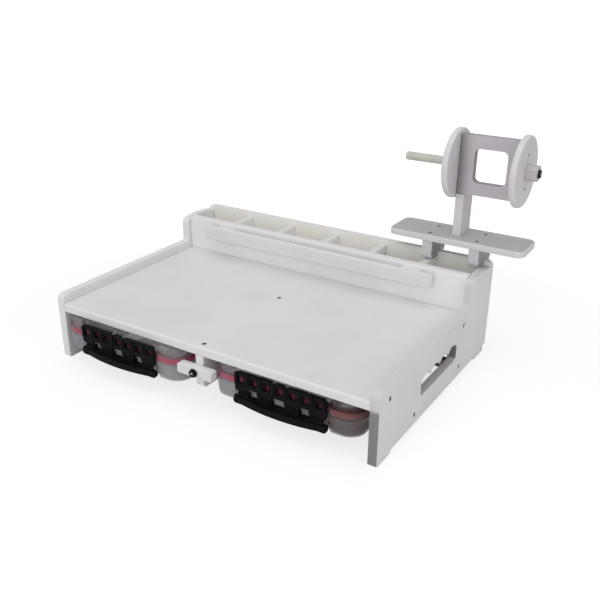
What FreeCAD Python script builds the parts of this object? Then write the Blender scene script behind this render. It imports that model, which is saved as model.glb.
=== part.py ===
"""Fishing line winder on a white polyethylene tackle station, built as separate parts in millimetres.

The station stands on two side panels. X runs along its width, Y from its front to its back, +Z up.
Every part is built in station coordinates: x = 0 at the left panel's outer face, y = 0 at the worktop's
front edge and z = 0 at the floor. Each is moved to the row's origin as it is saved.
"""

import math
import os

import FreeCAD
import Part

V = FreeCAD.Vector

# ---------------------------------------------------------------- sheets and clearances
sheet = 12.7            # thick board: panels, worktop, dividers, post, legs, web
thin_sheet = 9.5        # thin board: back panel, winder board, rack bar
body_gap = 0.4          # air between parts that move against each other
running_gap = 0.05      # radial clearance of a shaft in its hole
edge_round = 1.2        # eased edge of cut board

# ---------------------------------------------------------------- tackle boxes, which set the bays
box_width = 229.0
box_depth = 350.0
box_height = 51.0
bay_spare_width = 24.95     # each bay is this much wider than its box
bay_spare_depth = 21.5      # and reaches this far behind where a box of its depth would end
bay_headroom = 1.6
box_front = {"left": -8.0, "right": 2.0}        # how far each box stands in from the worktop's edge
box_shift = {"left": -9.2, "right": -2.3}       # and off the middle of its bay
box_corner_radius = 25.0
box_wall = 2.2
recess_depth = 5.0      # shallow recess in the front, for latch and handle
recess_half = 73.0
tub_step = 12.0         # height of the slightly narrower lower tier
tub_inset = 1.0
tub_round = 3.0
tub_height = 25.0
gasket_height = 8.0
gasket_width = 5.0
gasket_inset = 7.8      # from the box's outside, behind the lid's skirt
gasket_corner_radius = 26.0
ledge_spare = 0.7       # the ledges above and below the gasket are this much wider inwards
skirt_gap = 0.3         # between the lid's skirt and the tub
lid_rim_height = 4.0
lid_inset = 3.0
lid_round = 3.5
row_count = 4
row_rib = 1.6
cross_divider = 1.6
divider_gap = 0.2
divider_place = (0.2, 0.25)     # where the loose dividers stand, as shares of the depth

# ---------------------------------------------------------------- latch, handle and hinge of a box
front_axis_y = -4.5     # the axis of latch and handle, in front of the recess
barrel_radius = 3.5
pin_radius = 1.5
plate_thickness = 3.5
plate_ahead = 1.0       # the plates stand this far in front of their barrels
plate_round = 4.0
lug_radius = 2.7
lug_round = 2.4
latch_width = 140.0
latch_axis_z = 44.0
latch_bottom = 20.2
latch_lug_x = 10.0
latch_lug_length = 5.0
latch_pin_half = 20.0
ear_top = 50.4
catch_length = 96.0
catch_bottom = 22.4
catch_depth = 3.0
hook_height = 1.7
hook_clear = 1.4        # between the latch's hook and the recess
latch_notch_rise = 5.5  # notches in the latch's lower edge, above the windows of the handle
slot_count = 7
slot_pitch = 19.9
slot_width = 9.2
slot_bottom = 32.2
slot_top = 42.2
rib_width = 4.4
rib_rise = 1.8
rib_bottom = 30.5
rib_top = 46.5
rib_round = 0.8
handle_width = 144.0
handle_axis_z = 14.8
handle_top_rise = 0.9   # the plate's top above the axis
handle_bar_bottom = 0.8
handle_windows = ((-42.5, 14.5), (-2.5, 19.5), (37.5, 14.5))    # middle and width
handle_window_bottom = 12.4
handle_lug_length = 5.2
handle_pin_length = 17.0
grip_forward = 2.0      # the grip bar stands this far in front of the plate
grip_top = 10.5
bulge_depth = 6.0       # the grip bar swells forward at its middle
bulge_half = 58.0
hinge_radius = 3.0
hinge_pin_radius = 1.2
hinge_knuckle = 18.0
hinge_count = 5
hinge_clear = 1.0
hinge_tail = 3.0

# ---------------------------------------------------------------- station
stretcher_width = 12.7
stretcher_bottom = 12.7
stretcher_inset = (109.0, 104.5)    # from the front edge, from the back panel
partition_lift = 3.4    # the partition ends this far above the stretchers
partition_nose_radius = 6.0
lip_rise = 13.3         # side panels in front of the bin, above the worktop
panel_rise = 52.8       # side panels beside the bin, at the ends of their crown
panel_crown = 4.0       # rise of that top's shallow arc
panel_top_radius = 8.0
step_lead = 7.0         # the side panels step up this far in front of the bin
step_radius = 5.0
bin_depth = 55.8
bin_rise = 57.8
back_rise = 60.8
back_bottom = 6.0
back_corner_radius = 11.0
back_foot_radius = 5.0
divider_rise = 52.3
divider_count = 5
worktop_round = 2.5
front_corner_radius = 9.0
toe_radius = 3.0
foot_length = 36.0
foot_height = 5.0

handle_shift = 1.25     # the carrying slot stands this far behind the middle
handle_length = 125.0
handle_bottom = 38.0
handle_top = 56.0
handle_radius = 8.5
finger_count = 4
finger_radius = 20.0
finger_rise = 11.5      # the tops of the finger scallops above the slot

rack_length = 422.0
rack_shift = -2.0
rack_height = 20.0
rack_rise = 32.3
rack_radius = 5.0
rack_slot = 8.0         # knife slot between the rack bar and the bin
rack_spacer_length = 30.0
rack_spacer_inset = 22.0

# ---------------------------------------------------------------- screws
screw_head_radius = 3.6
screw_head_depth = 2.6
screw_shank_radius = 1.9
screw_length = 32.0
worktop_screw_length = 25.0
rack_screw_length = 27.0
board_screw_length = 24.0
bearing_screw_length = 18.0
spool_screw_length = 22.0
panel_screw_inset = (28.7, 99.5)        # from the front edge, from the back panel
worktop_screw_inset = (12.0, 174.5)
bin_screw_count = 4
back_screw_z = (30.0, 112.0)
back_screw_inset = 60.0

# ---------------------------------------------------------------- turn button
button_length = 58.0
button_height = 14.0
button_drop = 21.0      # its axis below the worktop's underside
button_round = 2.0
button_screw_radius = 2.5
button_screw_reach = 25.0       # how far the screw runs into the partition
button_head_radius = 5.5
button_head_length = 3.6
button_head_round = 1.4
button_washer_radius = 6.2
button_washer_length = 0.8
drive_width = 2.4
drive_depth = 1.3
drive_length = 7.0

# ---------------------------------------------------------------- winder bracket
board_length = 214.5
board_from_right = 161.0        # the board's left end from the station's right side
board_overhang = 41.0           # the board's front from the back panel's rear face
board_depth = 68.0
board_corner_radius = 12.0
board_round = 2.2               # eased upper edge of the board
board_slot_width = 6.0
board_slot_length = 52.0
board_slot_inset = 12.5         # from the rear edge to the slot's centre line
board_slot_left = (11.0, 150.0)  # each slot's left end from the board's left end
board_screw_spread = 37.0
leg_from_right = (96.4, 21.2)
leg_width = 16.0
leg_forward = 36.5              # from the back panel's rear face
leg_back = 19.0
leg_rise = 25.0                 # from the back panel's top to the board
leg_drop = 8.0
leg_round = 12.0
post_from_right = 63.0          # the post's left face, and the bearing disc's right face
post_forward = 22.0
post_back = 17.0
post_screw_inset = 13.0

# ---------------------------------------------------------------- spool
axle_forward = 15.0
axle_rise = 111.0               # above the winder board
disc_radius = 52.0
disc_thickness = 9.5
disc_round = 3.0
axle_radius = 6.35
axle_reach = 76.5               # free length on the left of the bearing disc
axle_end_round = 1.5
journal_radius = 5.0            # the axle is turned down where it runs in the disc
spigot_radius = 4.0
spigot_length = 15.0
web_gap = 1.0           # between the bearing disc and the spinning web
web_post_gap = 0.6      # between the spinning web's corner and the post's top
web_width = 89.0
web_half_height = 44.0
window_left = 22.0      # from the web's left edge to its window
window_width = 49.5
window_height = 51.0
window_radius = 8.0
hub_length = 17.0
hub_size = 21.0
hub_chamfer = 4.0
bolt_head_radius = 6.0
bolt_head_length = 2.5
bolt_radius = 3.0
bolt_length = 39.0
bolt_washer_radius = 6.4
bolt_washer_length = 0.8
disc_screw_z = 24.5     # disc screws above and below the axle
disc_screw_head = 2.6
disc_screw_drop = 3.4   # bearing disc screws below the post's top
disc_screw_y = (-8.0, 14.0)

# ---------------------------------------------------------------- derived positions
bay_width = box_width + bay_spare_width
station_width = 3 * sheet + 2 * bay_width
back_front = box_depth + bay_spare_depth
station_depth = back_front + thin_sheet
inner_left = sheet
inner_right = station_width - sheet
centre_x = station_width / 2.0
box_centre_x = {"left": inner_left + bay_width / 2 + box_shift["left"],
                "right": inner_right - bay_width / 2 + box_shift["right"]}
stretcher_top = stretcher_bottom + sheet
stretcher_y = (stretcher_inset[0], back_front - stretcher_inset[1])
box_bottom = stretcher_top
partition_bottom = stretcher_top + partition_lift
worktop_under = box_bottom + box_height + bay_headroom
worktop_top = worktop_under + sheet
lip_top = worktop_top + lip_rise
panel_top = worktop_top + panel_rise
bin_top = worktop_top + bin_rise
back_top = worktop_top + back_rise
divider_top = worktop_top + divider_rise
rack_bottom = worktop_top + rack_rise
bin_inside_y = back_front - bin_depth
bin_front_y = bin_inside_y - sheet
bin_step_y = bin_front_y - step_lead
handle_start = (back_front - handle_length) / 2 + handle_shift
finger_centre_z = handle_top + finger_rise - finger_radius
panel_screw_y = (panel_screw_inset[0], back_front - panel_screw_inset[1])
worktop_screw_y = (worktop_screw_inset[0], back_front - worktop_screw_inset[1])

board_left = station_width - board_from_right
board_right = board_left + board_length
board_front = station_depth - board_overhang
board_rear = board_front + board_depth
board_bottom = back_top + leg_rise
board_top = board_bottom + thin_sheet
leg_x = [station_width - inset for inset in leg_from_right]
leg_front = station_depth - leg_forward
leg_rear = station_depth + leg_back
leg_bottom = back_top - leg_drop
post_x = station_width - post_from_right
post_front = station_depth - post_forward
post_rear = station_depth + post_back
axle_y = station_depth - axle_forward
axle_z = board_top + axle_rise
post_top = axle_z - math.hypot(web_half_height, sheet / 2) - web_post_gap
web_left = post_x + web_gap
web_right = web_left + web_width
disc_right = web_right + disc_thickness
bearing_left = post_x - disc_thickness
axle_left = bearing_left - axle_reach
axle_shoulder = bearing_left - body_gap
bolt_start = disc_right + hub_length + bolt_washer_length
bolt_end = bolt_start + bolt_head_length

button_centre_z = worktop_under - button_drop
button_back = -body_gap
button_front = button_back - sheet
button_head_front = button_front - button_washer_length - body_gap - button_head_length
plate_offset = recess_depth + front_axis_y - barrel_radius - plate_ahead    # from a box's front
handle_front = min(box_front.values()) + plate_offset - grip_forward - bulge_depth
front_end = min(button_head_front, handle_front)
rear_end = max(axle_y + disc_radius, board_rear)
right_end = max(bolt_end, board_right)
origin = V(right_end / 2, (front_end + rear_end) / 2, 0.0)


# ---------------------------------------------------------------- small builders
def block(x0, x1, y0, y1, z0, z1):
    """A box between two corners."""
    return Part.makeBox(x1 - x0, y1 - y0, z1 - z0, V(x0, y0, z0))


def rod(start, axis, radius, length):
    """A cylinder from its start point along an axis."""
    return Part.makeCylinder(radius, length, V(*start), V(*axis))


def rounded(shape, axis, radius, where=None):
    """Round the straight edges that run along one axis, all of them or those where() accepts."""
    picked = []
    for edge in shape.Edges:
        if not isinstance(edge.Curve, Part.Line):
            continue
        way = edge.tangentAt(edge.FirstParameter)
        along = abs({"x": way.x, "y": way.y, "z": way.z}[axis]) > 0.999
        if along and (where is None or where(edge.CenterOfMass)):
            picked.append(edge)
    return shape.makeFillet(radius, picked) if picked else shape


def slab(x0, x1, y0, y1, z0, z1, axis, radius):
    """A box with its four edges along one axis rounded."""
    return rounded(block(x0, x1, y0, y1, z0, z1), axis, radius)


def eased(shape, test, radius=edge_round):
    """Ease the edges whose middle passes a test."""
    picked = [edge for edge in shape.Edges if test(edge.CenterOfMass)]
    return shape.makeFillet(radius, picked)


def fused(first, *others):
    """One clean solid out of pieces that touch or overlap."""
    return first.fuse(list(others)).removeSplitter()


def screw(point, way, length=screw_length, head=screw_head_radius):
    """A countersunk screw whose head is flush at a point and whose shank runs along a direction."""
    cone = Part.makeCone(head, screw_shank_radius, screw_head_depth, V(*point), V(*way))
    return fused(cone, rod(point, way, screw_shank_radius, length))


def save(name, shape):
    """Move a finished part to the row's origin and write it."""
    placed = shape.copy()
    placed.translate(-origin)
    placed.exportStep("parts/" + name + ".step")


def bored(shape, screws):
    """Cut the holes that a set of screws fills."""
    return shape.cut(screws) if screws else shape


# ---------------------------------------------------------------- side panels
def side_panel(x0):
    """Stepped side panel with two feet, a carrying slot with finger scallops and a rounded lip."""
    outline = [
        (0.0, 0.0), (foot_length, 0.0), (foot_length + foot_height, foot_height),
        (back_front - foot_length - foot_height, foot_height), (back_front - foot_length, 0.0),
        (back_front, 0.0), (back_front, panel_top), (bin_step_y, panel_top), (bin_step_y, lip_top),
        (0.0, lip_top),
    ]
    points = [V(x0, y, z) for y, z in outline]
    edges = [Part.makeLine(a, b) for a, b in zip(points, points[1:] + points[:1])]
    crown = V(x0, (back_front + bin_step_y) / 2, panel_top + panel_crown)
    top = outline.index((back_front, panel_top))
    edges[top] = Part.Arc(points[top], crown, points[top + 1]).toShape()
    panel = Part.Face(Part.Wire(edges)).extrude(V(sheet, 0, 0))

    def near(y, z):
        return lambda c: abs(c.y - y) < 0.1 and abs(c.z - z) < 0.1

    panel = rounded(panel, "x", front_corner_radius, near(0.0, lip_top))
    panel = rounded(panel, "x", panel_top_radius, near(bin_step_y, panel_top))
    panel = rounded(panel, "x", step_radius, near(bin_step_y, lip_top))
    panel = rounded(panel, "x", toe_radius, near(0.0, 0.0))
    end = handle_start + handle_length
    slot = slab(x0 - 1, x0 + sheet + 1, handle_start, end, handle_bottom, handle_top, "x",
                handle_radius)
    pitch = handle_length / finger_count
    for i in range(finger_count):
        centre = handle_start + pitch * (i + 0.5)
        finger = rod((x0 - 1, centre, finger_centre_z), (1, 0, 0), finger_radius, sheet + 2)
        keep = block(x0 - 1, x0 + sheet + 1, handle_start, end, handle_top - handle_radius,
                     handle_top + finger_radius)
        slot = slot.fuse(finger.common(keep))
    return panel.cut(slot.removeSplitter())


# ---------------------------------------------------------------- screws, made first to bore the parts
panel_screws = []
for face_x, way in ((0.0, (1, 0, 0)), (station_width, (-1, 0, 0))):
    for y in panel_screw_y:
        panel_screws.append(screw((face_x, y, worktop_under + sheet / 2), way))
    for y in stretcher_y:
        panel_screws.append(screw((face_x, y, stretcher_bottom + sheet / 2), way))

worktop_screws = [screw((centre_x, y, worktop_top), (0, 0, -1), worktop_screw_length)
                  for y in worktop_screw_y]

bin_screws = [
    screw((inner_left + (i + 0.5) * (inner_right - inner_left) / bin_screw_count,
           bin_front_y + sheet / 2, worktop_under), (0, 0, 1))
    for i in range(bin_screw_count)
]

back_screws = [screw((x, station_depth, z), (0, -1, 0))
               for x in (sheet / 2, station_width - sheet / 2) for z in back_screw_z]
back_screws += [screw((x, station_depth, worktop_under + sheet / 2), (0, -1, 0))
                for x in (inner_left + back_screw_inset, centre_x - back_screw_inset,
                          centre_x + back_screw_inset, inner_right - back_screw_inset)]

rack_front = bin_front_y - rack_slot - thin_sheet
rack_left = centre_x + rack_shift - rack_length / 2
spacer_x = (rack_left + rack_spacer_inset + rack_spacer_length / 2,
            rack_left + rack_length - rack_spacer_inset - rack_spacer_length / 2)
rack_screws = [screw((x, bin_inside_y, rack_bottom + rack_height / 2), (0, -1, 0), rack_screw_length)
               for x in spacer_x]

left_panel = bored(side_panel(0.0), panel_screws + back_screws)
right_panel = bored(side_panel(station_width - sheet), panel_screws + back_screws)

# ---------------------------------------------------------------- worktop, partition and stretchers
worktop = block(inner_left, inner_right, 0.0, back_front, worktop_under, worktop_top)
worktop = eased(worktop, lambda c: abs(c.y) < 0.1 and abs(c.z - worktop_top) < 0.1, worktop_round)
worktop = bored(worktop, panel_screws + worktop_screws + bin_screws + back_screws)

button_pilot = rod((centre_x, 0.0, button_centre_z), (0, 1, 0), button_screw_radius, button_screw_reach)
partition = block(centre_x - sheet / 2, centre_x + sheet / 2, 0.0, back_front, partition_bottom,
                  worktop_under)
partition = rounded(partition, "x", partition_nose_radius,
                    lambda c: c.y < 0.1 and c.z < partition_bottom + 0.1)
partition = bored(partition, worktop_screws + [button_pilot])

stretchers = []
for y in stretcher_y:
    bar = block(inner_left, inner_right, y - stretcher_width / 2, y + stretcher_width / 2,
                stretcher_bottom, stretcher_top)
    stretchers.append(bored(bar, panel_screws))

# ---------------------------------------------------------------- bin
bin_front = block(inner_left, inner_right, bin_front_y, bin_inside_y, worktop_top, bin_top)
bin_front = eased(bin_front, lambda c: abs(c.y - bin_front_y) < 0.1 and abs(c.z - bin_top) < 0.1)
bin_front = bored(bin_front, bin_screws + rack_screws)

back_panel = block(0.0, station_width, back_front, station_depth, back_bottom, back_top)
back_panel = rounded(back_panel, "y", back_corner_radius, lambda c: c.z > back_top - 0.1)
back_panel = rounded(back_panel, "y", back_foot_radius, lambda c: c.z < back_bottom + 0.1)
back_panel = bored(back_panel, back_screws)

cell_width = (inner_right - inner_left - divider_count * sheet) / (divider_count + 1)
dividers = []
for i in range(divider_count):
    x0 = inner_left + cell_width * (i + 1) + sheet * i
    dividers.append(block(x0, x0 + sheet, bin_inside_y, back_front, worktop_top, divider_top))

# ---------------------------------------------------------------- tool rack
rack_bar = slab(rack_left, rack_left + rack_length, rack_front, rack_front + thin_sheet,
                rack_bottom, rack_bottom + rack_height, "y", rack_radius)
rack_bar = bored(rack_bar, rack_screws)
spacers = [block(x - rack_spacer_length / 2, x + rack_spacer_length / 2, rack_front + thin_sheet,
                 bin_front_y, rack_bottom, rack_bottom + rack_height) for x in spacer_x]
spacers = [bored(spacer, rack_screws) for spacer in spacers]

# ---------------------------------------------------------------- turn button
button = slab(centre_x - button_length / 2, centre_x + button_length / 2, button_front, button_back,
              button_centre_z - button_height / 2, button_centre_z + button_height / 2, "y",
              button_round)
button = button.cut(rod((centre_x, button_front - 1, button_centre_z), (0, 1, 0),
                        button_screw_radius + running_gap, sheet + 2))
washer_front = button_front - body_gap - button_washer_length
button_washer = rod((centre_x, washer_front, button_centre_z), (0, 1, 0),
                    button_washer_radius, button_washer_length)
button_washer = button_washer.cut(rod((centre_x, washer_front - 1, button_centre_z), (0, 1, 0),
                                      button_screw_radius, 5.0))
button_screw = rod((centre_x, washer_front, button_centre_z), (0, 1, 0), button_screw_radius,
                   button_screw_reach - washer_front)
button_head = rod((centre_x, button_head_front, button_centre_z), (0, 1, 0), button_head_radius,
                  button_head_length)
button_head = eased(button_head, lambda c: abs(c.y - button_head_front) < 0.1, button_head_round)
drive = block(centre_x - drive_width / 2, centre_x + drive_width / 2, button_head_front - 1,
              button_head_front + drive_depth, button_centre_z - drive_length / 2,
              button_centre_z + drive_length / 2)
button_screw = fused(button_screw, button_head).cut(drive)

# ---------------------------------------------------------------- winder bracket
leg_mid_y = (leg_front + leg_rear) / 2
board_screws = [screw((x, y, board_top), (0, 0, -1), board_screw_length)
                for x in leg_x
                for y in (leg_mid_y - board_screw_spread / 2, leg_mid_y + board_screw_spread / 2)]
post_screws = [screw((post_x + sheet / 2, y, board_bottom), (0, 0, 1))
               for y in (post_front + post_screw_inset, post_rear - post_screw_inset)]

board = slab(board_left, board_right, board_front, board_rear, board_bottom, board_top, "z",
             board_corner_radius)
board = eased(board, lambda c: abs(c.z - board_top) < 0.1, board_round)
for start in board_slot_left:
    x0 = board_left + start
    mid = board_rear - board_slot_inset
    board = board.cut(slab(x0, x0 + board_slot_length, mid - board_slot_width / 2,
                           mid + board_slot_width / 2, board_bottom - 1, board_top + 1, "z",
                           0.45 * board_slot_width))
board = bored(board, board_screws + post_screws)

legs = []
for x in leg_x:
    leg = block(x - leg_width / 2, x + leg_width / 2, leg_front, leg_rear, leg_bottom, board_bottom)
    leg = rounded(leg, "x", leg_round, lambda c: c.z < leg_bottom + 0.1)
    saddle = block(x - leg_width, x + leg_width, back_front - body_gap, station_depth + body_gap,
                   leg_bottom - 1, back_top + body_gap)
    legs.append(bored(leg.cut(saddle), board_screws))

disc_screws = [screw((bearing_left, axle_y + dy, post_top - disc_screw_drop), (1, 0, 0),
                     bearing_screw_length, disc_screw_head)
               for dy in disc_screw_y]
post = block(post_x, post_x + sheet, post_front, post_rear, board_top, post_top)
post = bored(post, post_screws + disc_screws)


def disc(x0):
    """A winder disc with eased rims."""
    plain = rod((x0, axle_y, axle_z), (1, 0, 0), disc_radius, disc_thickness)
    return plain.makeFillet(disc_round, [e for e in plain.Edges if isinstance(e.Curve, Part.Circle)])


bearing_disc = disc(bearing_left).cut(
    rod((bearing_left - 1, axle_y, axle_z), (1, 0, 0), journal_radius + running_gap, disc_thickness + 2))
bearing_disc = bored(bearing_disc, disc_screws)

# ---------------------------------------------------------------- spool
hub_right = disc_right + hub_length
spool_screws = [screw((disc_right, axle_y, axle_z + dz), (-1, 0, 0), spool_screw_length,
                      disc_screw_head) for dz in (-disc_screw_z, disc_screw_z)]
bolt_shank = rod((bolt_start, axle_y, axle_z), (-1, 0, 0), bolt_radius, bolt_length)

web = block(web_left, web_right, axle_y - sheet / 2, axle_y + sheet / 2, axle_z - web_half_height,
            axle_z + web_half_height)
web = web.cut(slab(web_left + window_left, web_left + window_left + window_width, axle_y - sheet,
                   axle_y + sheet, axle_z - window_height / 2, axle_z + window_height / 2, "y",
                   window_radius))
spigot = rod((web_left, axle_y, axle_z), (1, 0, 0), spigot_radius, spigot_length)
web = bored(web.cut(spigot), spool_screws + [bolt_shank])

axle = rod((axle_left, axle_y, axle_z), (1, 0, 0), axle_radius, axle_shoulder - axle_left)
axle = eased(axle, lambda c: abs(c.x - axle_left) < 0.1, axle_end_round)
journal = rod((axle_shoulder, axle_y, axle_z), (1, 0, 0), journal_radius, web_left - axle_shoulder)
axle = fused(axle, journal, spigot)

spool_disc = bored(disc(web_right), spool_screws + [bolt_shank])

hub = block(disc_right, hub_right, axle_y - hub_size / 2, axle_y + hub_size / 2,
            axle_z - hub_size / 2, axle_z + hub_size / 2)
hub = hub.makeChamfer(hub_chamfer, [e for e in hub.Edges if abs(e.Length - hub_length) < 0.01])
hub = hub.cut(bolt_shank)
bolt_washer = rod((hub_right, axle_y, axle_z), (1, 0, 0), bolt_washer_radius, bolt_washer_length)
bolt_washer = bolt_washer.cut(bolt_shank)
hex_points = [V(bolt_start, axle_y + bolt_head_radius * math.cos(math.radians(60 * i)),
                axle_z + bolt_head_radius * math.sin(math.radians(60 * i))) for i in range(7)]
bolt_head = Part.Face(Part.makePolygon(hex_points)).extrude(V(bolt_head_length, 0, 0))
bolt = fused(bolt_head, bolt_shank)


# ---------------------------------------------------------------- tackle boxes
def tackle_box(side):
    """All the parts of one tackle box, as a dictionary from part name to shape."""
    cx, bz = box_centre_x[side], box_bottom
    x0, x1 = cx - box_width / 2, cx + box_width / 2
    y0, y1 = box_front[side], box_front[side] + box_depth
    face = y0 + recess_depth            # the front wall behind latch and handle
    axis_y = face + front_axis_y
    plate_front = y0 + plate_offset

    def ring(inset, z0, z1):
        """The box's outline with its front recess, drawn in by an inset and given a height."""
        plain = slab(x0 + inset, x1 - inset, y0 + inset, y1 - inset, bz + z0, bz + z1, "z",
                     box_corner_radius - inset)
        half = recess_half + inset
        return plain.cut(block(cx - half, cx + half, y0 - 2, face + inset, bz + z0 - 1, bz + z1 + 1))

    def inside(inset, z0, z1):
        """A plain outline round the seal's middle, drawn in by an inset and given a height."""
        return slab(x0 + inset, x1 - inset, y0 + inset, y1 - inset, bz + z0, bz + z1, "z",
                    gasket_corner_radius + gasket_inset - inset)

    # Tub: a wide upper tier on a narrower lower tier, in four rows, open inside a ledge for the gasket.
    ledge_inset = gasket_inset + gasket_width + ledge_spare
    ledge_under = tub_height - box_wall
    lower = ring(tub_inset, 0.0, tub_step)
    lower = eased(lower, lambda c: abs(c.z - bz) < 0.1, tub_round)
    tub = fused(lower, ring(0.0, tub_step, tub_height))
    hollow = fused(ring(tub_inset + box_wall, box_wall, tub_step + box_wall),
                   ring(box_wall, tub_step + box_wall, ledge_under),
                   inside(ledge_inset, ledge_under - 1, tub_height + 1))
    row_pitch = (box_width - 2 * box_wall) / row_count
    for i in range(1, row_count):
        rib_x = x0 + box_wall + i * row_pitch
        hollow = hollow.cut(block(rib_x - row_rib / 2, rib_x + row_rib / 2, y0, y1, bz, bz + ledge_under))
    tub = tub.cut(hollow)
    catch = block(cx - catch_length / 2, cx + catch_length / 2, face - catch_depth, face + 1.0,
                  bz + catch_bottom, bz + tub_height - 0.2)

    # Latch and handle share one pattern: a plate on a barrel, on pins that run in two lugs of the box.
    def both_sides(near, far):
        """The low and high x of a stretch on the left and on the right of the box's middle."""
        return [(cx - far, cx - near), (cx + near, cx + far)]

    def lugs(axis_z, near, far, reach):
        found = []
        for a, b in both_sides(near, far):
            lug = block(a, b, axis_y - lug_radius, face + reach, bz + axis_z - lug_radius,
                        bz + axis_z + lug_radius)
            found.append(rounded(lug, "x", lug_round, lambda c: c.y < axis_y))
        return found

    def along(axis_z, radius, low, high):
        """A rod on one of the two front axes."""
        return rod((low, axis_y, bz + axis_z), (1, 0, 0), radius, high - low)

    def hung_plate(width, low, top, axis_z, barrel_half):
        plate = slab(cx - width / 2, cx + width / 2, plate_front, plate_front + plate_thickness,
                     bz + low, bz + top, "y", plate_round)
        return fused(plate, along(axis_z, barrel_radius, cx - barrel_half, cx + barrel_half))

    latch_half, handle_half = latch_width / 2, handle_width / 2
    lug_near, lug_far = latch_lug_x - latch_lug_length / 2, latch_lug_x + latch_lug_length / 2
    end_far = handle_half - body_gap
    end_near = end_far - handle_lug_length
    latch_pin = along(latch_axis_z, pin_radius, cx - latch_pin_half, cx + latch_pin_half)
    grip_pins = [along(handle_axis_z, pin_radius, a, b)
                 for a, b in both_sides(end_far - handle_pin_length, end_far)]
    tub = fused(tub, catch, *lugs(handle_axis_z, end_near, end_far, 1.0)).cut(grip_pins)

    # Rear hinge: knuckles of tub and lid in turn along one pin, each on a tail round the gasket.
    lid_z0 = tub_height + gasket_height
    hinge_y, hinge_z = y1 + hinge_radius + hinge_clear, bz + tub_height + gasket_height / 2
    knuckle_pitch = hinge_knuckle + body_gap
    start = cx - hinge_count * knuckle_pitch / 2
    knuckles = []
    for i in range(hinge_count):
        kx = start + i * knuckle_pitch
        end = kx + hinge_knuckle
        knuckle = rod((kx, hinge_y, hinge_z), (1, 0, 0), hinge_radius, hinge_knuckle)
        if i % 2 == 0:
            seat = bz + tub_height
            tail = block(kx, end, y1 - 1.0, hinge_y, seat - hinge_tail, seat)
            riser = block(kx, end, y1 + hinge_clear, hinge_y, seat - hinge_tail, hinge_z)
        else:
            seat = bz + lid_z0
            tail = block(kx, end, y1 - 1.0, hinge_y, seat, seat + hinge_tail)
            riser = block(kx, end, y1 + hinge_clear, hinge_y, hinge_z, seat + hinge_tail)
        knuckles.append(fused(knuckle, tail, riser))
    hinge_pin = rod((start, hinge_y, hinge_z), (1, 0, 0), hinge_pin_radius,
                    hinge_count * knuckle_pitch - body_gap)
    tub = fused(tub, *knuckles[0::2]).cut(hinge_pin)

    # Gasket between the ledges of tub and lid.
    gasket = inside(gasket_inset, tub_height, lid_z0)
    gasket = gasket.cut(inside(gasket_inset + gasket_width, tub_height - 1, lid_z0 + 1))

    # Lid: a skirt outside the gasket, a ledge over it, and a shallower cap with rounded top edges.
    ledge_top = lid_z0 + box_wall
    cap = ring(lid_inset, lid_z0 + lid_rim_height, box_height)
    cap = eased(cap, lambda c: abs(c.z - bz - box_height) < 0.1, lid_round)
    lid = fused(ring(0.0, tub_height + skirt_gap, lid_z0 + lid_rim_height), cap)
    lid = lid.cut([ring(box_wall, tub_height - 1, lid_z0),
                   inside(ledge_inset, lid_z0 - 1, ledge_top + 1),
                   ring(lid_inset + box_wall, ledge_top, box_height - box_wall)])
    ears = [block(a, b, face, face + lid_inset + 1.0, bz + latch_axis_z, bz + ear_top)
            for a, b in both_sides(lug_near, lug_far)]
    lid = fused(lid, *ears, *lugs(latch_axis_z, lug_near, lug_far, lid_inset + 1.0)).cut(latch_pin)
    lid = fused(lid, *knuckles[1::2]).cut(hinge_pin)

    # Latch: hooked under the tub's catch bar, with a row of slots between ribs. In front of the lugs only
    # a thin skin of the plate is left, so that it turns round them.
    latch = hung_plate(latch_width, latch_bottom, latch_axis_z + barrel_radius, latch_axis_z, latch_half - 4)
    hook = block(cx - catch_length / 2, cx + catch_length / 2, plate_front, face - hook_clear,
                 bz + latch_bottom, bz + latch_bottom + hook_height)
    ribs = []
    for i in range(slot_count + 1):
        x = cx + (i - slot_count / 2) * slot_pitch
        x = min(max(x, cx - latch_half + rib_width / 2), cx + latch_half - rib_width / 2)
        ribs.append(slab(x - rib_width / 2, x + rib_width / 2, plate_front - rib_rise,
                         plate_front + plate_thickness, bz + rib_bottom, bz + rib_top, "z", rib_round))
    latch = fused(latch, hook, *ribs)
    for x, width in handle_windows:
        latch = latch.cut(block(cx + x - width / 2, cx + x + width / 2, plate_front - 1, face,
                                bz + latch_bottom - 1, bz + latch_bottom + latch_notch_rise))
    for i in range(slot_count):
        x = cx + (i - (slot_count - 1) / 2) * slot_pitch
        latch = latch.cut(slab(x - slot_width / 2, x + slot_width / 2, plate_front - 1, face,
                               bz + slot_bottom, bz + slot_top, "y", 1.5))
    room = lug_radius + body_gap
    for a, b in both_sides(lug_near - body_gap, lug_far + body_gap):
        latch = latch.cut(block(a, b, axis_y - room, face, bz + latch_axis_z - barrel_radius,
                                bz + latch_axis_z + barrel_radius + 1))
    latch = latch.cut(along(latch_axis_z, pin_radius + running_gap, cx - latch_half, cx + latch_half))

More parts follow.
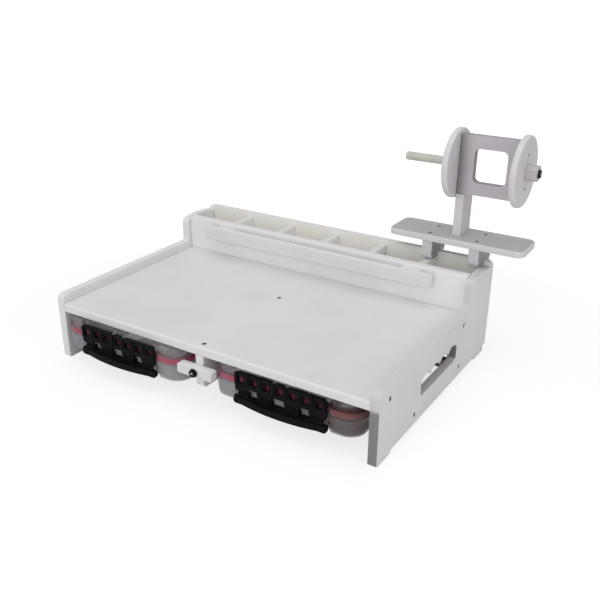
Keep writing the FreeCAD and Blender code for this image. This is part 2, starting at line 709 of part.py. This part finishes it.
    # Carrying handle: a plate on end pins with three windows at its top, and a grip bar that bows forward.
    grip_front = plate_front - grip_forward
    bow = Part.Arc(V(cx - bulge_half, grip_front, 0), V(cx, grip_front - bulge_depth, 0),
                   V(cx + bulge_half, grip_front, 0)).toShape()
    chord = Part.makeLine(V(cx + bulge_half, grip_front, 0), V(cx - bulge_half, grip_front, 0))
    bulge = Part.Face(Part.Wire([bow, chord])).extrude(V(0, 0, grip_top - handle_bar_bottom))
    bulge.translate(V(0, 0, bz + handle_bar_bottom))
    bar = slab(cx - handle_half, cx + handle_half, grip_front, plate_front + plate_thickness,
               bz + handle_bar_bottom, bz + grip_top, "y", plate_round)
    grip = hung_plate(handle_width, handle_bar_bottom, handle_axis_z + handle_top_rise, handle_axis_z,
                      end_near - body_gap)
    for a, b in both_sides(end_near - body_gap, handle_half):
        grip = grip.cut(block(a, b, plate_front - 1, face, bz + handle_axis_z - barrel_radius,
                              bz + handle_axis_z + barrel_radius))
    grip = fused(grip, bar, bulge)
    for x, width in handle_windows:
        grip = grip.cut(block(cx + x - width / 2, cx + x + width / 2, plate_front - 1, face,
                              bz + handle_window_bottom, bz + handle_axis_z + barrel_radius + 1))
    for a, b in both_sides(end_far - handle_pin_length, handle_half):
        grip = grip.cut(along(handle_axis_z, pin_radius + running_gap, a, b))

    # Loose cross dividers, one in each row, standing on the tub's floor.
    loose = []
    for i in range(row_count):
        left = x0 + box_wall + i * row_pitch + row_rib / 2 + divider_gap
        right = left + row_pitch - row_rib - 2 * divider_gap
        if i == 0:
            left = x0 + tub_inset + box_wall + divider_gap
        if i == row_count - 1:
            right = x1 - tub_inset - box_wall - divider_gap
        y = y0 + box_depth * divider_place[i % 2]
        loose.append(block(left, right, y, y + cross_divider, bz + box_wall, bz + ledge_under - body_gap))

    return {"tub": tub, "gasket": gasket, "lid": lid, "latch": latch, "latch_pin": latch_pin,
            "handle": grip, "handle_pin": Part.Compound(grip_pins), "hinge_pin": hinge_pin,
            "dividers": Part.Compound(loose)}


# ---------------------------------------------------------------- save every part
os.makedirs("parts", exist_ok=True)
save("left_side_panel", left_panel)
save("right_side_panel", right_panel)
save("worktop", worktop)
save("centre_partition", partition)
save("front_stretcher", stretchers[0])
save("rear_stretcher", stretchers[1])
save("bin_front_panel", bin_front)
save("back_panel", back_panel)
for number, divider in enumerate(dividers, 1):
    save("bin_divider_%d" % number, divider)
save("tool_rack_bar", rack_bar)
save("tool_rack_spacers", Part.Compound(spacers))
save("side_panel_screws", Part.Compound(panel_screws))
save("worktop_screws", Part.Compound(worktop_screws))
save("bin_screws", Part.Compound(bin_screws))
save("back_screws", Part.Compound(back_screws))
save("tool_rack_screws", Part.Compound(rack_screws))
save("turn_button", button)
save("turn_button_washer", button_washer)
save("turn_button_screw", button_screw)
save("winder_board", board)
save("winder_leg_left", legs[0])
save("winder_leg_right", legs[1])
save("winder_post", post)
save("bearing_disc", bearing_disc)
save("winder_board_screws", Part.Compound(board_screws))
save("winder_post_screws", Part.Compound(post_screws))
save("bearing_disc_screws", Part.Compound(disc_screws))
save("spool_web", web)
save("spool_disc", spool_disc)
save("spool_axle", axle)
save("hub_block", hub)
save("hub_washer", bolt_washer)
save("hub_bolt", bolt)
save("spool_disc_screws", Part.Compound(spool_screws))
for side in ("left", "right"):
    for name, shape in tackle_box(side).items():
        save("%s_box_%s" % (side, name), shape)
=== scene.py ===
"""Looks of a white polyethylene tackle station with a fishing line winder hooked over its back panel.

The file follows the object as it is put together: the stage, the white boards, their screws, the turn
button, the winder on its bracket, and the two tackle boxes. Lengths are in metres, in the frame's axes.
"""
import math

import bpy
import numpy as np
from mathutils import Matrix, Vector


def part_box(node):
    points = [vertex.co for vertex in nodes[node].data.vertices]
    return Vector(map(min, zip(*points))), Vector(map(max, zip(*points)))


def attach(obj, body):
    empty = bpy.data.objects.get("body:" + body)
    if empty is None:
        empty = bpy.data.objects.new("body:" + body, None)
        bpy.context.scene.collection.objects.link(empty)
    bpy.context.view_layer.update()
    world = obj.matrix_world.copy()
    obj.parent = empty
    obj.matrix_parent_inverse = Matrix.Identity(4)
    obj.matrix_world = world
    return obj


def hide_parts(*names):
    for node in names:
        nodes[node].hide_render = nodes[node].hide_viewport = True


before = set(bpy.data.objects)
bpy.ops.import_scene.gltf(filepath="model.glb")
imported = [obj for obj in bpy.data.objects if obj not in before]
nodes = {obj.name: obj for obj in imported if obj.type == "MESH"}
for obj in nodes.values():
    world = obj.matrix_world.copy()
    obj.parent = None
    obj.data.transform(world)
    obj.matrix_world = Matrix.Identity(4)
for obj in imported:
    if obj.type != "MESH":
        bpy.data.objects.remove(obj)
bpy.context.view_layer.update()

# ---------------------------------------------------------------- stage
# The station is seen from its front right corner, a little from above, as it stands on a pale table.
# Everything on the stage is placed from the station's front left foot.
front_left_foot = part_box("left_side_panel")[0]

camera_place = front_left_foot + Vector((0.87951, -0.71585, 0.57352))
camera_turn = math.radians(31.915)
camera_dip = math.radians(23.941)
camera_roll = math.radians(0.476)
camera_focal_share = 772.89 / 600.0     # focal length over the width of the frame
camera_sensor = 36.0    # width in millimetres
camera_nearest = 0.01
clear_walls_deep = 32       # clear walls lie many deep in the tackle boxes

ahead = Vector((-math.sin(camera_turn) * math.cos(camera_dip),
                math.cos(camera_turn) * math.cos(camera_dip), -math.sin(camera_dip)))
level = Vector((math.cos(camera_turn), math.sin(camera_turn), 0.0))
above = level.cross(ahead)
right = level * math.cos(camera_roll) + above * math.sin(camera_roll)
up = above * math.cos(camera_roll) - level * math.sin(camera_roll)

camera_data = bpy.data.cameras.new("camera")
camera_data.sensor_width = camera_sensor
camera_data.lens = camera_focal_share * camera_data.sensor_width
camera_data.clip_start = camera_nearest
camera = bpy.data.objects.new("camera", camera_data)
camera.matrix_world = Matrix.Translation(camera_place) @ Matrix((right, up, -ahead)).transposed().to_4x4()
bpy.context.scene.collection.objects.link(camera)
bpy.context.scene.camera = camera
bpy.context.scene.view_settings.view_transform = "Standard"
bpy.context.scene.cycles.transparent_max_bounces = clear_walls_deep


class Signal:
    """A shader socket in an expression: arithmetic on signals adds the Math nodes."""

    def __init__(self, finish, socket):
        self.finish, self.socket = finish, socket

    def math(self, operation, first, second=0.0):
        return self.finish.add("Math", {0: first, 1: second}, operation=operation)

    def __add__(self, other):
        return self.math("ADD", self, other)

    def __sub__(self, other):
        return self.math("SUBTRACT", self, other)

    def __rsub__(self, other):
        return self.math("SUBTRACT", other, self)

    def __mul__(self, other):
        return self.math("MULTIPLY", self, other)

    __radd__ = __add__
    __rmul__ = __mul__

    def size(self):
        """The signal without its sign."""
        return self.math("ABSOLUTE", self)

    def ramp(self, low, high):
        """0 below low, 1 above high, and smooth between."""
        return self.finish.add("MapRange", {0: self, 1: low, 2: high}, interpolation_type="SMOOTHSTEP")


class Finish:
    """A material on one Principled shader. The constants are set on the shader's own sockets."""

    def __init__(self, name, **constants):
        self.material = bpy.data.materials.new(name)
        self.material.use_nodes = True
        self.tree = self.material.node_tree
        self.shader = self.tree.nodes["Principled BSDF"]
        for socket, value in constants.items():
            self.shader.inputs[socket.replace("_", " ")].default_value = value

    def add(self, kind, sockets=None, out=0, **settings):
        """Any node: its settings are set first, then the values or links of its sockets."""
        node = self.tree.nodes.new("ShaderNode" + kind)
        for name, value in settings.items():
            setattr(node, name, value)
        for name, value in (sockets or {}).items():
            if isinstance(value, Signal):
                self.tree.links.new(value.socket, node.inputs[name])
            else:
                node.inputs[name].default_value = value
        return Signal(self, node.outputs[out])

    def noise(self, place, scale, detail=2.0, roughness=0.5):
        """Cloudy noise with this many features to a metre."""
        return self.add("TexNoise", {"Vector": place, "Scale": scale, "Detail": detail,
                                     "Roughness": roughness})

    def streaks(self, place, scales, detail=2.0, roughness=0.5):
        """Noise that is stretched: it has a scale of its own along each axis."""
        return self.noise(self.add("Mapping", {"Vector": place, "Scale": scales}), 1.0, detail, roughness)

    def split(self, vector):
        """The three parts of a vector."""
        first = self.add("SeparateXYZ", {0: vector})
        return [Signal(self, output) for output in first.socket.node.outputs]

    def blend(self, factor, first, second):
        """A colour between two colours, which are sockets 6 and 7 and output 2 of the node."""
        first, second = (c if isinstance(c, Signal) else (*c, 1.0) for c in (first, second))
        return self.add("Mix", {0: factor, 6: first, 7: second}, out=2, data_type="RGBA")

    def bump(self, height, distance, normal=None):
        """A relief as high as distance where height is 1, over another normal if there is one."""
        sockets = {"Height": height, "Distance": distance, "Strength": 1.0}
        if normal:
            sockets["Normal"] = normal
        return self.add("Bump", sockets)

    def wear(self, **links):
        """Feed the shader's sockets that change over the surface."""
        for name, signal in links.items():
            self.tree.links.new(signal.socket, self.shader.inputs[name.replace("_", " ")])
        return self.material


# The table is a wide pale sheet. To the camera it is white, and round the station, where the soft shadow
# lies on it, part of its own light and shade shows through that white.
table_size = 80.0
table_drop = 0.0002     # the sheet lies this far under the feet
table_pale = (0.80, 0.80, 0.80, 1.0)
table_white = 1.19
pure_white = (1.0, 1.0, 1.0, 1.0)
shadow_share = 0.36     # how much of the table's own light and shade the camera sees round the station
shadow_reach = (0.50, 0.95)     # where that share begins to fall off and where it ends

table_finish = Finish("table_paint", Roughness=0.9, Base_Color=table_pale)
light_path = table_finish.add("LightPath").socket.node.outputs
camera_ray = Signal(table_finish, light_path["Is Camera Ray"])
clear_ray = Signal(table_finish, light_path["Is Transmission Ray"])
glow = table_finish.add("Emission", {"Color": pure_white, "Strength": table_white})
table_spot = table_finish.add("TexCoord", out="Object")
table_away = table_finish.add("VectorMath", {0: table_spot}, out="Value", operation="LENGTH")
shadow_seen = shadow_share * (1.0 - table_away.ramp(*shadow_reach))
seen = table_finish.add("MixShader", {0: (camera_ray + clear_ray) * (1.0 - shadow_seen)})
table_finish.tree.links.new(table_finish.shader.outputs[0], seen.socket.node.inputs[1])
table_finish.tree.links.new(glow.socket, seen.socket.node.inputs[2])
table_finish.tree.links.new(seen.socket, table_finish.tree.nodes["Material Output"].inputs["Surface"])
half = table_size / 2
table_corners = [(-half, -half, -table_drop), (half, -half, -table_drop), (half, half, -table_drop),
                 (-half, half, -table_drop)]
table_mesh = bpy.data.meshes.new("table")
table_mesh.from_pydata(table_corners, [], [(0, 1, 2, 3)])
table_mesh.materials.append(table_finish.material)
table = bpy.data.objects.new("table", table_mesh)
bpy.context.scene.collection.objects.link(table)

# The room is plain and pale; big soft panels light the station from the front, the right and above.
room_level = 0.50
soft_panels = (
    # name, place from the front left foot, aim, width, height, power
    ("front_panel", (0.25, -1.9, 1.1), (0.27, 0.15, 0.08), 1.8, 1.4, 12.0),
    ("right_panel", (2.2, -0.3, 1.0), (0.40, 0.2, 0.12), 1.4, 1.2, 6.5),
    ("top_panel", (0.2, 0.1, 2.1), (0.27, 0.2, 0.1), 1.6, 1.6, 10.5),
)

world = bpy.data.worlds.new("room")
world.use_nodes = True
bpy.context.scene.world = world
room_nodes, room_links = world.node_tree.nodes, world.node_tree.links
background = room_nodes["Background"]
background.inputs["Color"].default_value = pure_white
path = room_nodes.new("ShaderNodeLightPath")
direct = room_nodes.new("ShaderNodeMath")
direct.operation = "MAXIMUM"
room_links.new(path.outputs["Is Camera Ray"], direct.inputs[0])
room_links.new(path.outputs["Is Transmission Ray"], direct.inputs[1])
strength = room_nodes.new("ShaderNodeMapRange")
strength.inputs["To Min"].default_value = room_level
strength.inputs["To Max"].default_value = 1.0
room_links.new(direct.outputs[0], strength.inputs["Value"])
room_links.new(strength.outputs[0], background.inputs["Strength"])

for name, place, aim, width, height, power in soft_panels:
    light_data = bpy.data.lights.new(name, "AREA")
    light_data.shape = "RECTANGLE"
    light_data.size, light_data.size_y, light_data.energy = width, height, power
    light = bpy.data.objects.new(name, light_data)
    start, end = front_left_foot + Vector(place), front_left_foot + Vector(aim)
    turn = (start - end).to_track_quat("Z", "Y").to_matrix().to_4x4()
    light.matrix_world = Matrix.Translation(start) @ turn
    bpy.context.scene.collection.objects.link(light)


# ---------------------------------------------------------------- white boards
# Marine polyethylene sheet: its two faces are rolled with a fine pebble, and its cut edges carry the close
# marks of the router, which run through the thickness. Handling leaves faint scuffs on the faces.
board_white = (0.785, 0.775, 0.795)
board_shade = (0.74, 0.732, 0.748)
board_scuff = (0.70, 0.70, 0.70)
edge_white = (0.805, 0.80, 0.81)
as_it_is = (1.0, 1.0, 1.0)      # a tone that leaves the board's own colours
squarely = (0.75, 0.95)     # how far a surface faces an axis where that begins and where it fully counts
edge_soft = 0.0009      # how far the corners look rounded over
pebble_scale = 520.0
pebble_height = 0.00008
router_close, router_long = 900.0, 35.0     # the router's marks, along the edge and through the thickness
router_share = 0.6      # the marks' height, as a share of the pebble's
shade_scale = 7.0
scratch_scales = (55.0, 420.0, 300.0)
scuff_scale = 16.0      # the scratches gather in places of this scale
scuff_strength = 0.5


def board_finish(name, thickness_axis, face_tone=as_it_is, edge_tone=as_it_is, patches=()):
    """White board whose thickness runs along one axis; the tones tint its two faces and its cut edges.
    Each patch is a colour and a mask, worked out from the place and from the way the surface faces."""
    finish = Finish(name, IOR=1.5, Specular_IOR_Level=0.42, Subsurface_Weight=0.35, Subsurface_Scale=0.006,
                    Subsurface_Radius=(1.0, 0.92, 0.84))
    place = finish.add("TexCoord", out="Object")
    facing = finish.add("TexCoord", out="Normal")
    thickness = "XYZ".index(thickness_axis)
    face = finish.split(facing)[thickness].size().ramp(*squarely)
    router_scales = [router_close] * 3
    router_scales[thickness] = router_long
    pebble = finish.noise(place, pebble_scale, 3.0, 0.55)
    marks = finish.streaks(place, router_scales)
    clouds = finish.noise(place, shade_scale, 4.0, 0.6).ramp(0.35, 0.7)
    scratches = finish.streaks(place, scratch_scales, 3.0, 0.6).ramp(0.66, 0.75)
    scuffed = scratches * finish.noise(place, scuff_scale).ramp(0.5, 0.72) * face

    def toned(colour, tone):
        return tuple(share * part for share, part in zip(colour, tone))

    body = finish.blend(clouds, toned(board_white, face_tone), toned(board_shade, face_tone))
    body = finish.blend(scuffed * scuff_strength, body, toned(board_scuff, face_tone))
    body = finish.blend(face, toned(edge_white, edge_tone), body)
    for patch_colour, mask in patches:
        body = finish.blend(mask(finish.split(place), finish.split(facing)), body, patch_colour)
    rounded = finish.add("Bevel", {"Radius": edge_soft}, samples=4)
    relief = finish.bump(pebble * face + marks * (1.0 - face) * router_share, pebble_height, rounded)
    return finish.wear(Base_Color=body, Normal=relief,
                       Roughness=0.36 + pebble * 0.12 + scuffed * 0.12 + (1.0 - face) * 0.08)


def show(node, material):
    """Give a CAD node its finish."""
    nodes[node].data.materials.clear()
    nodes[node].data.materials.append(material)


across = board_finish("board_across", "X")
along = board_finish("board_along", "Y")
flat = board_finish("board_flat", "Z")
for node in ("left_side_panel", "centre_partition"):
    show(node, across)
for node in ("tool_rack_bar", "tool_rack_spacers"):
    show(node, along)
for node in ("front_stretcher", "rear_stretcher"):
    show(node, flat)

# Painted shade: the right panel's edges a shade dimmer, and its front edge below the worktop much darker.
right_edge_painted_shade_tone = (0.84, 0.825, 0.835)
right_edge_painted_shade = (0.25, 0.245, 0.25)
painted_shade_squarely = (0.6, 0.95)
worktop_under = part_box("worktop")[0].z
painted_shade_top = (worktop_under - 0.004, worktop_under + 0.004)
# The patch below paints shade on the front edge, under the worktop.
show("right_side_panel", board_finish("board_right", "X", edge_tone=right_edge_painted_shade_tone, patches=[
    (right_edge_painted_shade, lambda spot, facing: (facing[1] * -1.0).ramp(*painted_shade_squarely)
                                     * (1.0 - spot[2].ramp(*painted_shade_top)))]))

# In and round the bin the boards are painted lighter and warmer, as painted light, and the dividers' cut
# edges a little darker, as painted shade.
bin_painted_light = (0.92, 0.905, 0.87)
bin_front_painted_light_tone = (1.13, 1.13, 1.12)
divider_painted_light_tone, divider_edge_painted_shade_tone = (1.13, 1.12, 1.08), (0.94, 0.93, 0.92)
divider_count = 5
bin_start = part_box("bin_front_panel")[1].y
bin_painted_light_start = (bin_start - 0.001, bin_start + 0.001)
show("bin_front_panel", board_finish("bin_front", "Y", bin_front_painted_light_tone, patches=[
    (bin_painted_light, lambda spot, facing: facing[1].ramp(*squarely))]))
show("back_panel", board_finish("bin_back", "Y", patches=[
    (bin_painted_light, lambda spot, facing: (facing[1] * -1.0).ramp(*squarely))]))
show("worktop", board_finish("board_top", "Z", patches=[
    (bin_painted_light, lambda spot, facing: spot[1].ramp(*bin_painted_light_start))]))
divider_white = board_finish("bin_dividers", "X", divider_painted_light_tone, divider_edge_painted_shade_tone)
for number in range(1, divider_count + 1):
    show("bin_divider_%d" % number, divider_white)


# ---------------------------------------------------------------- screws
# Stainless countersunk screws with a cross recess hold the boards together. They are driven just below the
# face of the board, and their heads are a little dished.
panel_head = 0.0036     # a head's radius
disc_head = 0.0026
heads_apart = 0.009     # more than a head is across, and less than from one head to the next
same_plane = 0.00001
head_dip = 0.00015
rim_fall = 0.0005
recess_depth = 0.0013
recess_arm = 0.62       # half the length of the cross, as a share of the head's radius
recess_width = 0.17     # half the width of an arm, as a share of the head's radius
recess_slope = 0.5      # how far the slope at an arm's side runs, as a share of recess_width
recess_end = 0.14       # how far the slope at its end runs, as a share of the head's radius
first_turn, next_turn = 0.6, 1.1    # how the crosses stand, in radians
rings, spokes = 17, 48
ring_crowding = 0.8     # under 1, the rings lie closer together towards the rim

steel_light, steel_dark = (0.15, 0.15, 0.155), (0.09, 0.09, 0.095)
brush_scale = 1400.0
brush_height = 0.00001
steel = Finish("screw_steel", Metallic=1.0, IOR=2.5)
steel_place = steel.add("TexCoord", out="Object")
brushed = steel.noise(steel_place, brush_scale, 3.0)
steel_clouds = steel.noise(steel_place, 240.0).ramp(0.35, 0.7)
steel_finish = steel.wear(Base_Color=steel.blend(steel_clouds, steel_light, steel_dark),
                          Roughness=0.28 + brushed * 0.2, Normal=steel.bump(brushed, brush_height))


def head_places(node, axis, side):
    """The middle of each screw head: the middle of each clump of vertices in a node's outermost plane."""
    points = np.empty(len(nodes[node].data.vertices) * 3)
    nodes[node].data.vertices.foreach_get("co", points)
    points = points.reshape(-1, 3)
    outer = points[:, axis].max() if side > 0 else points[:, axis].min()
    rest = points[np.abs(points[:, axis] - outer) < same_plane]
    places = []
    while len(rest):
        near = np.linalg.norm(rest - rest[0], axis=1) < heads_apart
        low, high = rest[near].min(0), rest[near].max(0)
        places.append((low + high) / 2)
        rest = rest[~near]
    return places


def screw_heads(name, node, axis, sides, body, radius):
    """Dished heads on a polar grid. The height falls at the rim with the 8th power of the radius, and a
    cross is pressed in where one coordinate is inside an arm's width and the other inside its length."""
    share, angle = np.meshgrid(np.linspace(0, 1, rings) ** ring_crowding,
                               np.arange(spokes) * 2 * np.pi / spokes, indexing="ij")
    a, b = share * np.cos(angle), share * np.sin(angle)
    side_slope = recess_width * recess_slope

    def arm(p, q):
        return (np.clip((recess_width + side_slope / 2 - np.abs(p)) / side_slope, 0, 1)
                * np.clip((recess_arm - np.abs(q)) / recess_end, 0, 1))

    height = -head_dip - rim_fall * share ** 8 - recess_depth * np.maximum(arm(a, b), arm(b, a))
    ring, spoke = np.meshgrid(np.arange(rings - 1), np.arange(spokes), indexing="ij")
    onward = (spoke + 1) % spokes
    quads = np.stack([ring * spokes + spoke, (ring + 1) * spokes + spoke, (ring + 1) * spokes + onward,
                      ring * spokes + onward], -1).reshape(-1, 4)
    first, second = (axis + 1) % 3, (axis + 2) % 3
    points, faces = [], []
    for side in sides:
        for number, place in enumerate(head_places(node, axis, side)):
            spin = first_turn + next_turn * number
            head = np.empty((rings, spokes, 3))
            head[..., axis] = place[axis] + side * height
            head[..., first] = place[first] + radius * (a * np.cos(spin) - b * np.sin(spin))
            head[..., second] = place[second] + radius * (a * np.sin(spin) + b * np.cos(spin))
            faces.append((quads if side > 0 else quads[:, ::-1]) + len(points) * rings * spokes)
            points.append(head)
    mesh = bpy.data.meshes.new(name)
    mesh.from_pydata(np.array(points).reshape(-1, 3).tolist(), [], np.concatenate(faces).tolist())
    mesh.polygons.foreach_set("use_smooth", np.full(len(mesh.polygons), True))
    mesh.materials.append(steel_finish)
    mesh.update()
    piece = bpy.data.objects.new(name, mesh)
    bpy.context.scene.collection.objects.link(piece)
    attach(piece, body)
    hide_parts(node)


screw_heads("panel_screw_heads", "side_panel_screws", 0, (-1, 1), "station", panel_head)
screw_heads("worktop_screw_heads", "worktop_screws", 2, (1,), "station", panel_head)
screw_heads("bin_screw_heads", "bin_screws", 2, (-1,), "station", panel_head)
screw_heads("back_screw_heads", "back_screws", 1, (1,), "station", panel_head)
screw_heads("rack_screw_heads", "tool_rack_screws", 1, (1,), "station", panel_head)
screw_heads("board_screw_heads", "winder_board_screws", 2, (1,), "winder_bracket", panel_head)
screw_heads("post_screw_heads", "winder_post_screws", 2, (-1,), "winder_bracket", panel_head)
screw_heads("bearing_screw_heads", "bearing_disc_screws", 0, (-1,), "winder_bracket", disc_head)
screw_heads("spool_screw_heads", "spool_disc_screws", 0, (1,), "spool", disc_head)


# ---------------------------------------------------------------- turn button
# A bar of the same white board, which turns on a screw and a washer and keeps both tackle boxes in. The
# screw's head is painted near black, with a painted highlight in its middle.
button_screw_highlight = 0.0021    # the radius of the painted highlight
highlight_core = 0.8       # the share of that radius where it is fully bright
head_painted_highlight, head_near_black = (0.80, 0.80, 0.82), (0.012, 0.012, 0.013)


def dark_highlit_head(node, off_axis, highlight_radius):
    """A head painted near black, with a painted highlight within a radius of its axis; off_axis is 0 along
    that axis.
    """
    finish = Finish(node + "_head", Metallic=1.0, IOR=2.5)
    place = finish.add("TexCoord", out="Object")
    middle = sum(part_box(node), Vector()) / 2
    away = finish.add("VectorMath", {0: place, 1: middle}, operation="SUBTRACT")
    away = finish.add("VectorMath", {0: away, 1: off_axis}, operation="MULTIPLY")
    away = finish.add("VectorMath", {0: away}, out="Value", operation="LENGTH")
    grain = finish.noise(place, brush_scale, 3.0)
    body = finish.blend(away.ramp(highlight_radius * highlight_core, highlight_radius), head_painted_highlight, head_near_black)
    return finish.wear(Base_Color=body, Roughness=0.3 + grain * 0.2,
                       Normal=finish.bump(grain, brush_height))


show("turn_button", along)
show("turn_button_screw", dark_highlit_head("turn_button_screw", (1.0, 0.0, 1.0), button_screw_highlight))
show("turn_button_washer", steel_finish)


# ---------------------------------------------------------------- winder
# A slotted board on two saddle legs, a post with a bearing disc, and the spool that turns in it. All of it
# is cut from the same kind of sheet as the station, a shade greyer, and screwed together.
winder_tone = (0.88, 0.86, 0.88)
# The next two tones are painted shade: they darken the winder board's top and bottom faces, and the legs'
# sides.
shelf_painted_shade_tone = (0.66, 0.635, 0.65)
leg_painted_shade_tone = (0.50, 0.48, 0.48)
hub_tone = (0.72, 0.69, 0.71)
web_tone, web_edge_tone = (0.71, 0.68, 0.705), (0.50, 0.455, 0.45)
web_painted_shadow = (0.22, 0.205, 0.20)      # painted shadow of the bearing disc, on the web beside it
web_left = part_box("spool_web")[0].x
web_painted_shadow_reach = (web_left - 0.006, web_left + 0.022)
hub_bolt_highlight = 0.0028    # the radius of the painted highlight in the bolt's middle

winder_across = board_finish("winder_across", "X", winder_tone, winder_tone)
for node in ("winder_post", "bearing_disc", "spool_disc"):
    show(node, winder_across)
leg_finish = board_finish("winder_legs", "X", leg_painted_shade_tone, winder_tone)
for node in ("winder_leg_left", "winder_leg_right"):
    show(node, leg_finish)
show("winder_board", board_finish("winder_flat", "Z", shelf_painted_shade_tone, winder_tone))
# The web is painted greyer beside the bearing disc, as the disc's painted shadow.
show("spool_web", board_finish("winder_web", "Y", web_tone, web_edge_tone, [
    (web_painted_shadow, lambda spot, facing: 1.0 - spot[0].ramp(*web_painted_shadow_reach))]))
show("hub_block", board_finish("hub", "X", hub_tone, hub_tone))
show("hub_bolt", dark_highlit_head("hub_bolt", (0.0, 1.0, 1.0), hub_bolt_highlight))
show("hub_washer", steel_finish)

# The axle is a drawn rod of unpigmented plastic, faintly green, with fine draw lines along it.
rod_pale, rod_dim = (0.62, 0.63, 0.56), (0.54, 0.55, 0.49)
draw_scales = (8.0, 1500.0, 1500.0)
draw_height = 0.00003
rod_finish = Finish("drawn_rod", IOR=1.5, Specular_IOR_Level=0.45)
rod_place = rod_finish.add("TexCoord", out="Object")
rod_clouds = rod_finish.noise(rod_place, 60.0, 3.0).ramp(0.3, 0.7)
lines = rod_finish.streaks(rod_place, draw_scales)
show("spool_axle", rod_finish.wear(Base_Color=rod_finish.blend(rod_clouds, rod_pale, rod_dim),
                                   Roughness=0.38 + lines * 0.15,
                                   Normal=rod_finish.bump(lines, draw_height)))


# ---------------------------------------------------------------- tackle boxes
# Each box is a tub and a hinged lid, moulded in smoky clear plastic with a faint flow texture, with loose
# clear dividers in it and a soft red seal under the lid's skirt. The front of the right box's right end is
# painted dark brown, as painted shade beside the right side panel.
tub_colours = (0.41, 0.405, 0.43), (0.35, 0.345, 0.37)
lid_colours = (0.45, 0.435, 0.465), (0.39, 0.375, 0.40)
divider_colours = (0.60, 0.60, 0.61), (0.54, 0.54, 0.55)
tub_alpha, lid_alpha, divider_alpha = 0.50, 0.30, 0.50
flow_scales = (14.0, 5.0, 40.0)
haze_scale = 380.0
flow_height = 0.00006

seal_low, seal_high = (corner.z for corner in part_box("left_box_gasket"))
seal_rise = 0.0022      # the clear skirt shows the seal this much above where it lies
seal_blur = 0.001
seal_red = (0.60, 0.06, 0.13)
seal_share = 0.85       # how much of the skirt's own colour the seal hides
seal_solid = 0.3        # how much less clear the skirt looks in front of it

# Painted shade: dark brown on the front of the right box's right end.
right_end_painted_shade = (0.12, 0.092, 0.085)
latch_left, latch_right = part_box("right_box_latch")
painted_shade_across = (latch_left.lerp(latch_right, 0.6).x, latch_right.x)
tub_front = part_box("right_box_tub")[0].y
painted_shade_depth = (tub_front + 0.03, tub_front + 0.06)
seal_over_painted_shade = 0.4    # how much of the painted shade the seal's red keeps off


def clear_finish(name, colours, alpha, sealed=False, shaded_end=False):
    """Clear moulded plastic: cloudy streaks of two colours, and a soft wave in its surface. A sealed piece
    carries the seal's red at the seal's height, as a clear edge does with a red ring right behind it. One
    with a shaded end is painted dark brown, as painted shade, from left to right towards its right end,
    and clears from front to back."""
    finish = Finish(name, IOR=1.48, Specular_IOR_Level=0.5, Alpha=alpha)
    place = finish.add("TexCoord", out="Object")
    spot = finish.split(place)
    flow = finish.streaks(place, flow_scales, 3.0)
    haze = finish.noise(place, haze_scale)
    body = finish.blend(flow.ramp(0.3, 0.7), *colours)
    tint = 0.0
    if sealed:
        bottom, top = seal_low + seal_rise, seal_high + seal_rise
        tint = (spot[2].ramp(bottom - seal_blur, bottom + seal_blur)
                * (1.0 - spot[2].ramp(top - seal_blur, top + seal_blur)) * seal_share)
        body = finish.blend(tint, body, seal_red)
        finish.wear(Alpha=alpha + tint * seal_solid)
    # The right end is painted dark brown here, as painted shade.
    if shaded_end:
        end_shade_mask = spot[0].ramp(*painted_shade_across) * (1.0 - spot[1].ramp(*painted_shade_depth))
        body = finish.blend(end_shade_mask * (1.0 - tint * seal_over_painted_shade), body, right_end_painted_shade)
    return finish.wear(Base_Color=body, Roughness=0.22 + haze * 0.14,
                       Normal=finish.bump(flow + haze * 0.2, flow_height))


box_finishes = {
    "left": (clear_finish("tub_plastic", tub_colours, tub_alpha),
             clear_finish("lid_plastic", lid_colours, lid_alpha, sealed=True)),
    "right": (clear_finish("tub_plastic_shaded_end", tub_colours, tub_alpha, shaded_end=True),
              clear_finish("lid_plastic_shaded_end", lid_colours, lid_alpha, sealed=True, shaded_end=True)),
}
divider_finish = clear_finish("divider_plastic", divider_colours, divider_alpha)

# The seal is a soft red rubber ring, slightly dusty.
seal_fresh, seal_dusty = (0.50, 0.045, 0.085), (0.56, 0.11, 0.16)
seal = Finish("seal_rubber", IOR=1.45, Specular_IOR_Level=0.35)
seal_place = seal.add("TexCoord", out="Object")
dust = seal.noise(seal_place, 120.0, 4.0).ramp(0.4, 0.75)
seal_grain = seal.noise(seal_place, 1500.0)
seal_finish = seal.wear(Base_Color=seal.blend(dust, seal_fresh, seal_dusty),
                        Roughness=0.5 + seal_grain * 0.2, Normal=seal.bump(seal_grain, 0.00002))

# Latch and handle are moulded in black, with a fine spark-eroded grain that is rubbed paler in places.
black_fresh, black_rubbed = (0.004, 0.004, 0.005), (0.009, 0.009, 0.010)
black = Finish("black_moulding", IOR=1.5, Specular_IOR_Level=0.10)
black_place = black.add("TexCoord", out="Object")
black_grain = black.noise(black_place, 1800.0)
rubbed = black.noise(black_place, 45.0, 3.0).ramp(0.45, 0.75)
black_round = black.add("Bevel", {"Radius": 0.0006}, samples=4)
black_finish = black.wear(Base_Color=black.blend(rubbed, black_fresh, black_rubbed),
                          Roughness=0.52 + black_grain * 0.12 + rubbed * 0.08,
                          Normal=black.bump(black_grain, 0.00002, black_round))

for side in ("left", "right"):
    for moulding, finish in zip(("_box_tub", "_box_lid"), box_finishes[side]):
        show(side + moulding, finish)
    show(side + "_box_dividers", divider_finish)
    show(side + "_box_gasket", seal_finish)
    show(side + "_box_latch", black_finish)
    show(side + "_box_handle", black_finish)
    for pin in ("latch_pin", "handle_pin", "hinge_pin"):
        show("%s_box_%s" % (side, pin), steel_finish)
